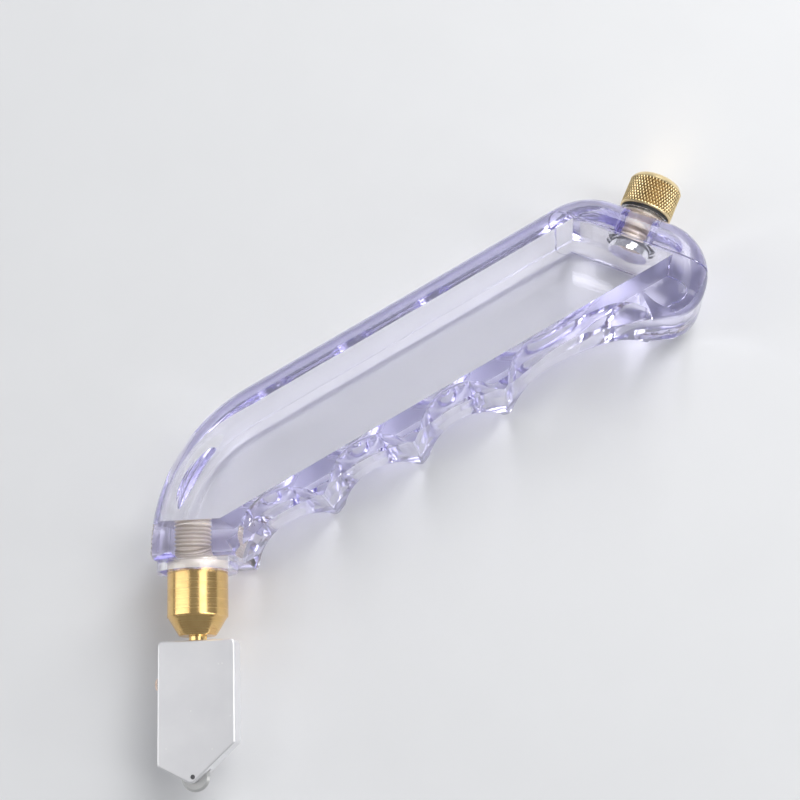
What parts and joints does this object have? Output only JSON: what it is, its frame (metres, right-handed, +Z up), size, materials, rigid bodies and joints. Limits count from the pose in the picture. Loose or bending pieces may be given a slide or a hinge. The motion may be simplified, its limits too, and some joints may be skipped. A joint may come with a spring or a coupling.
{
  "type": "oil-feed glass cutter",
  "caption": "Pistol-grip oil-feed glass cutter: clear finger-grooved handle with oil reservoir, knurled filler cap, brass ferrule with oil valve, flat head and cutting wheel.",
  "frame": {"origin": "middle of the tool's footprint as it lies on one side of its grip, on the surface it lies on", "axes": "+Z up through the grip's thickness, -Y along the ferrule towards the cutting wheel, and the handle rises from the nose towards +X and +Y"},
  "size_m": [0.1056, 0.113, 0.022],
  "materials": {
    "clear_acrylic": "clear cast acrylic, polished, with a faint violet tint",
    "knurled_brass": "diamond knurled",
    "polished_brass": "turned and polished",
    "valve_brass": "turned",
    "black_rubber": "matt nitrile rubber",
    "clear_washer": "natural translucent nylon",
    "spring_steel": "drawn wire",
    "head_finish": "fine blasted and anodised silver, polished edges",
    "copper_screw": "bright copper-toned",
    "axle_steel": "ground pin",
    "carbide": "ground tungsten carbide"
  },
  "bodies": {
    "grip": {"grip_body": "clear_acrylic", "tail_closure": "clear_acrylic", "ferrule": "polished_brass", "ferrule_seal": "clear_washer", "spring_retainer": "valve_brass", "valve_spring": "spring_steel"},
    "valve": {"valve_stem": "valve_brass", "valve_seal": "black_rubber"},
    "head": {"cutting_head": "head_finish", "head_screw": "copper_screw", "wheel_axle": "axle_steel"},
    "wheel": {"cutting_wheel": "carbide"},
    "cap_seal": {"filler_seal": "black_rubber"},
    "cap": {"filler_cap": "knurled_brass"}
  },
  "joints": [
    {"name": "valve_press", "type": "slide", "parent": "grip", "child": "valve", "axis": [0, 1, 0], "range_m": [0, 0.0007], "stiffness_N_per_m": 1500, "springref_m": -0.0015, "deforming": ["valve_spring"]},
    {"name": "head_swivel", "type": "hinge", "parent": "valve", "child": "head", "pos_m": [-0.0449, -0.03711, 0.011], "axis": [0, 1, 0], "range_deg": [-15, 15]},
    {"name": "wheel_spin", "type": "hinge", "parent": "head", "child": "wheel", "pos_m": [-0.04525, -0.05381, 0.011], "axis": [0, 0, 1], "continuous": true},
    {"name": "cap_lift", "type": "slide", "parent": "grip", "child": "cap_seal", "axis": [0.4305, 0.9026, 0], "range_m": [0, 0.006]},
    {"name": "cap_turn", "type": "hinge", "parent": "cap_seal", "child": "cap", "pos_m": [0.04146, 0.04563, 0.011], "axis": [0.4305, 0.9026, 0], "range_deg": [0, 2160]}
  ],
  "couplings": [
    {"joint": "cap_lift", "follows": "cap_turn", "m_per_rad": 0.00015915}
  ]
}
